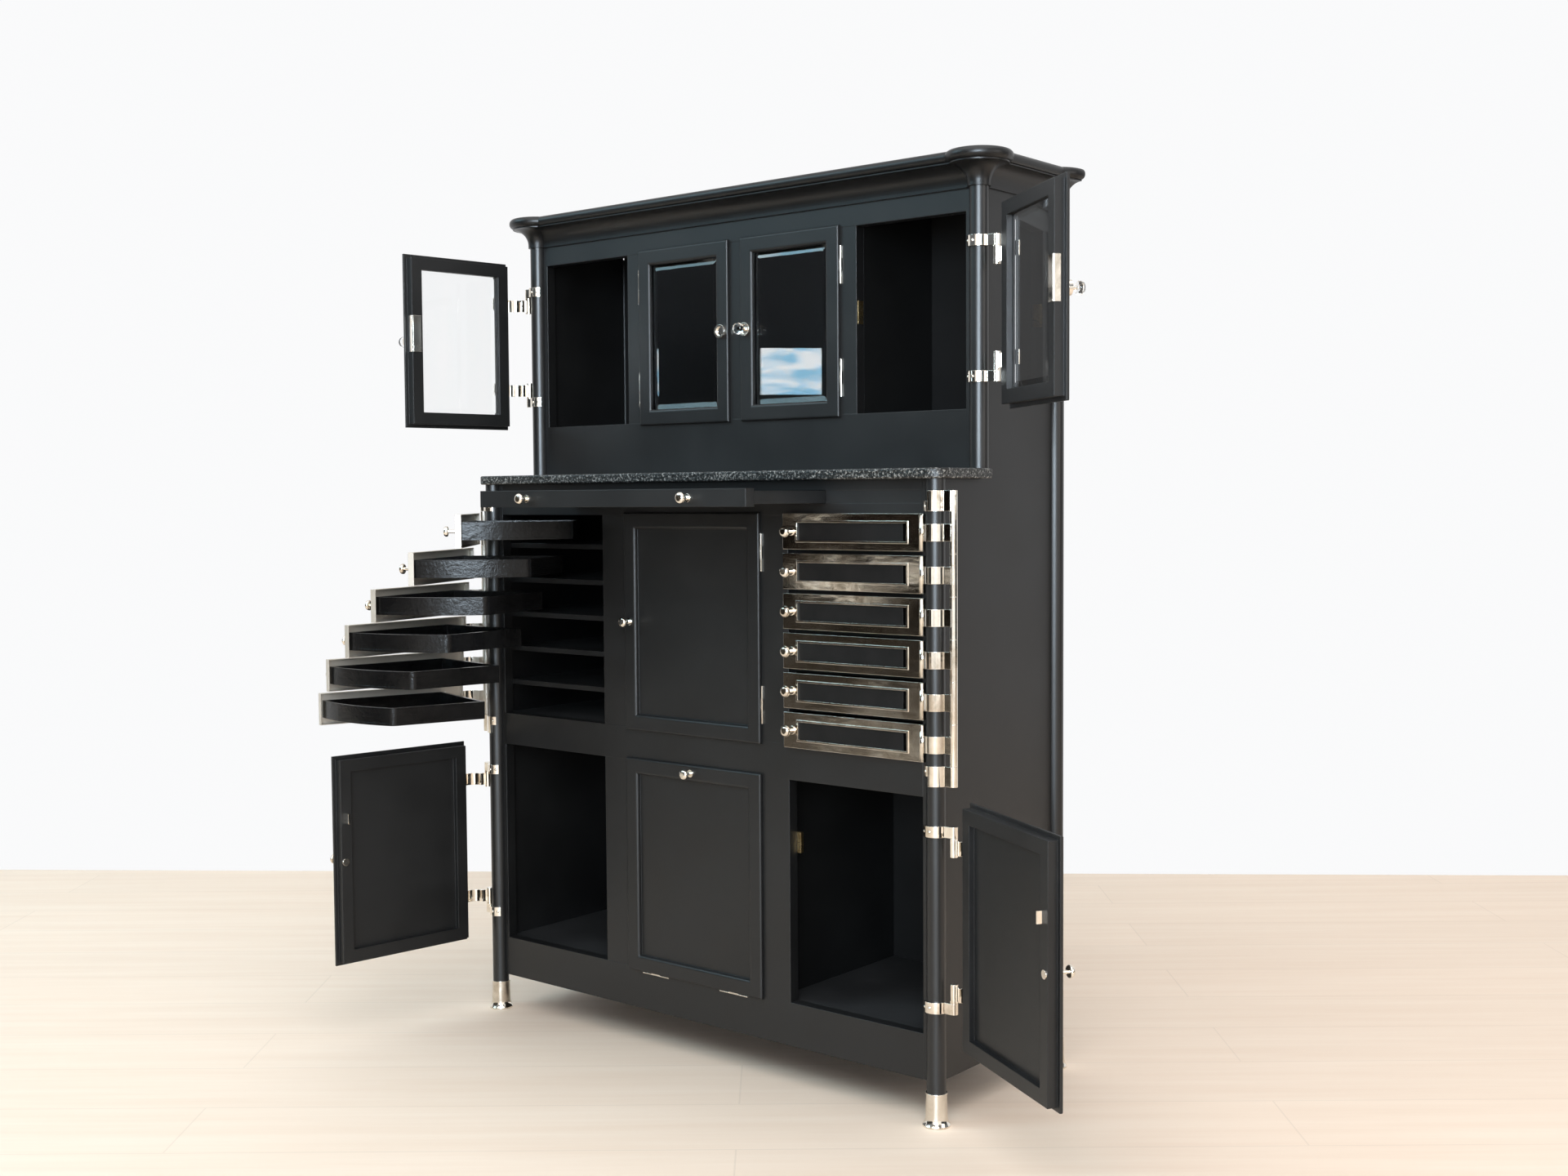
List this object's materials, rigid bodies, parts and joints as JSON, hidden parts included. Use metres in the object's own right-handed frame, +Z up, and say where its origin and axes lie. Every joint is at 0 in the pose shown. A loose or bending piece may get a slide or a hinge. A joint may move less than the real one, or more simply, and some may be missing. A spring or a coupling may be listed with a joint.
{
  "type": "instrument cabinet",
  "caption": "Tall two-tier black instrument cabinet on round posts, with bevelled glass doors above, swing-out trays with nickel fronts, panelled doors, a drop front and a pull-out slide.",
  "frame": {"origin": "on the floor, under the middle of the bounding box of the drawn pose; the middle of the four feet lies 82.2 mm to the left of it and 148.6 mm behind it", "axes": "+X to the cabinet's right as seen from the front, +Y to its back, +Z up"},
  "size_m": [1.473, 0.6922, 1.498],
  "materials": {
    "black_paint": "satin black paint on wood",
    "tray_lacquer": "gloss black lacquer on wood",
    "pebbled_top": "black pebbled coating on wood",
    "nickel": "worn nickel plating",
    "brass": "dull brass",
    "glass": "clear bevelled glass"
  },
  "bodies": {
    "carcass": {"corner_posts": "black_paint", "post_feet": "nickel", "side_panels": "black_paint", "back_panel": "black_paint", "carcass_boards": "black_paint", "partitions": "black_paint", "tray_shelves": "black_paint", "lower_face_frame": "black_paint", "upper_face_frame": "black_paint", "worktop": "pebbled_top", "cornice": "black_paint", "tray_pivots": "nickel", "fixed_hinge_leaves": "nickel", "strike_plates": "brass"},
    "swing_left_1": {"front_left_1": "nickel", "tray_left_1": "tray_lacquer"},
    "swing_left_2": {"front_left_2": "nickel", "tray_left_2": "tray_lacquer"},
    "swing_left_3": {"front_left_3": "nickel", "tray_left_3": "tray_lacquer"},
    "swing_left_4": {"front_left_4": "nickel", "tray_left_4": "tray_lacquer"},
    "swing_left_5": {"front_left_5": "nickel", "tray_left_5": "tray_lacquer"},
    "swing_left_6": {"front_left_6": "nickel", "tray_left_6": "tray_lacquer"},
    "door_lower_left": {"door_lower_left_panel": "black_paint", "door_lower_left_fittings": "nickel"},
    "door_upper_left": {"door_upper_left_frame": "black_paint", "door_upper_left_glass": "glass", "door_upper_left_fittings": "nickel"},
    "door_inner_left": {"door_inner_left_frame": "black_paint", "door_inner_left_glass": "glass", "door_inner_left_fittings": "nickel"},
    "swing_right_1": {"front_right_1": "nickel", "tray_right_1": "tray_lacquer"},
    "swing_right_2": {"front_right_2": "nickel", "tray_right_2": "tray_lacquer"},
    "swing_right_3": {"front_right_3": "nickel", "tray_right_3": "tray_lacquer"},
    "swing_right_4": {"front_right_4": "nickel", "tray_right_4": "tray_lacquer"},
    "swing_right_5": {"front_right_5": "nickel", "tray_right_5": "tray_lacquer"},
    "swing_right_6": {"front_right_6": "nickel", "tray_right_6": "tray_lacquer"},
    "door_lower_right": {"door_lower_right_panel": "black_paint", "door_lower_right_fittings": "nickel"},
    "door_upper_right": {"door_upper_right_frame": "black_paint", "door_upper_right_glass": "glass", "door_upper_right_fittings": "nickel"},
    "door_inner_right": {"door_inner_right_frame": "black_paint", "door_inner_right_glass": "glass", "door_inner_right_fittings": "nickel"},
    "door_centre": {"door_centre_panel": "black_paint", "door_centre_fittings": "nickel"},
    "drop_front": {"drop_front_panel": "black_paint", "drop_front_fittings": "nickel"},
    "slide": {"slide_board": "black_paint", "slide_knobs": "nickel"}
  },
  "joints": [
    {"name": "swing_left_1_hinge", "type": "hinge", "parent": "carcass", "child": "swing_left_1", "pos_m": [-0.61317, -0.02488, 0.75], "axis": [0, 0, -1], "range_deg": [-47.2, 72.8]},
    {"name": "swing_left_2_hinge", "type": "hinge", "parent": "carcass", "child": "swing_left_2", "pos_m": [-0.61317, -0.02488, 0.75], "axis": [0, 0, -1], "range_deg": [-62.2, 57.8]},
    {"name": "swing_left_3_hinge", "type": "hinge", "parent": "carcass", "child": "swing_left_3", "pos_m": [-0.61317, -0.02488, 0.75], "axis": [0, 0, -1], "range_deg": [-75.9, 44.1]},
    {"name": "swing_left_4_hinge", "type": "hinge", "parent": "carcass", "child": "swing_left_4", "pos_m": [-0.61317, -0.02488, 0.75], "axis": [0, 0, -1], "range_deg": [-87.8, 32.2]},
    {"name": "swing_left_5_hinge", "type": "hinge", "parent": "carcass", "child": "swing_left_5", "pos_m": [-0.61317, -0.02488, 0.75], "axis": [0, 0, -1], "range_deg": [-99.6, 20.4]},
    {"name": "swing_left_6_hinge", "type": "hinge", "parent": "carcass", "child": "swing_left_6", "pos_m": [-0.61317, -0.02488, 0.75], "axis": [0, 0, -1], "range_deg": [-107, 13]},
    {"name": "door_lower_left_hinge", "type": "hinge", "parent": "carcass", "child": "door_lower_left", "pos_m": [-0.61317, -0.02488, 0.322], "axis": [0, 0, -1], "range_deg": [-97.6, 72.4]},
    {"name": "door_upper_left_hinge", "type": "hinge", "parent": "carcass", "child": "door_upper_left", "pos_m": [-0.61317, 0.09612, 1.255], "axis": [0, 0, -1], "range_deg": [-97, 73]},
    {"name": "door_inner_left_hinge", "type": "hinge", "parent": "carcass", "child": "door_inner_left", "pos_m": [-0.31308, 0.09212, 1.255], "axis": [0, 0, -1], "range_deg": [0, 110]},
    {"name": "swing_right_1_hinge", "type": "hinge", "parent": "carcass", "child": "swing_right_1", "pos_m": [0.44883, -0.02488, 0.75], "axis": [0, 0, 1], "range_deg": [0, 120]},
    {"name": "swing_right_2_hinge", "type": "hinge", "parent": "carcass", "child": "swing_right_2", "pos_m": [0.44883, -0.02488, 0.75], "axis": [0, 0, 1], "range_deg": [0, 120]},
    {"name": "swing_right_3_hinge", "type": "hinge", "parent": "carcass", "child": "swing_right_3", "pos_m": [0.44883, -0.02488, 0.75], "axis": [0, 0, 1], "range_deg": [0, 120]},
    {"name": "swing_right_4_hinge", "type": "hinge", "parent": "carcass", "child": "swing_right_4", "pos_m": [0.44883, -0.02488, 0.75], "axis": [0, 0, 1], "range_deg": [0, 120]},
    {"name": "swing_right_5_hinge", "type": "hinge", "parent": "carcass", "child": "swing_right_5", "pos_m": [0.44883, -0.02488, 0.75], "axis": [0, 0, 1], "range_deg": [0, 120]},
    {"name": "swing_right_6_hinge", "type": "hinge", "parent": "carcass", "child": "swing_right_6", "pos_m": [0.44883, -0.02488, 0.75], "axis": [0, 0, 1], "range_deg": [0, 120]},
    {"name": "door_lower_right_hinge", "type": "hinge", "parent": "carcass", "child": "door_lower_right", "pos_m": [0.44883, -0.02488, 0.322], "axis": [0, 0, 1], "range_deg": [-149.3, 20.7]},
    {"name": "door_upper_right_hinge", "type": "hinge", "parent": "carcass", "child": "door_upper_right", "pos_m": [0.44883, 0.09612, 1.255], "axis": [0, 0, 1], "range_deg": [-142.3, 27.7]},
    {"name": "door_inner_right_hinge", "type": "hinge", "parent": "carcass", "child": "door_inner_right", "pos_m": [0.14874, 0.09212, 1.255], "axis": [0, 0, 1], "range_deg": [0, 110]},
    {"name": "door_centre_hinge", "type": "hinge", "parent": "carcass", "child": "door_centre", "pos_m": [0.07473, -0.02888, 0.75], "axis": [0, 0, 1], "range_deg": [0, 110]},
    {"name": "drop_front_hinge", "type": "hinge", "parent": "carcass", "child": "drop_front", "pos_m": [-0.08217, -0.02888, 0.1316], "axis": [1, 0, 0], "range_deg": [0, 90]},
    {"name": "slide_runner", "type": "slide", "parent": "carcass", "child": "slide", "axis": [0, -1, 0], "range_m": [-0.185, 0.055]}
  ]
}
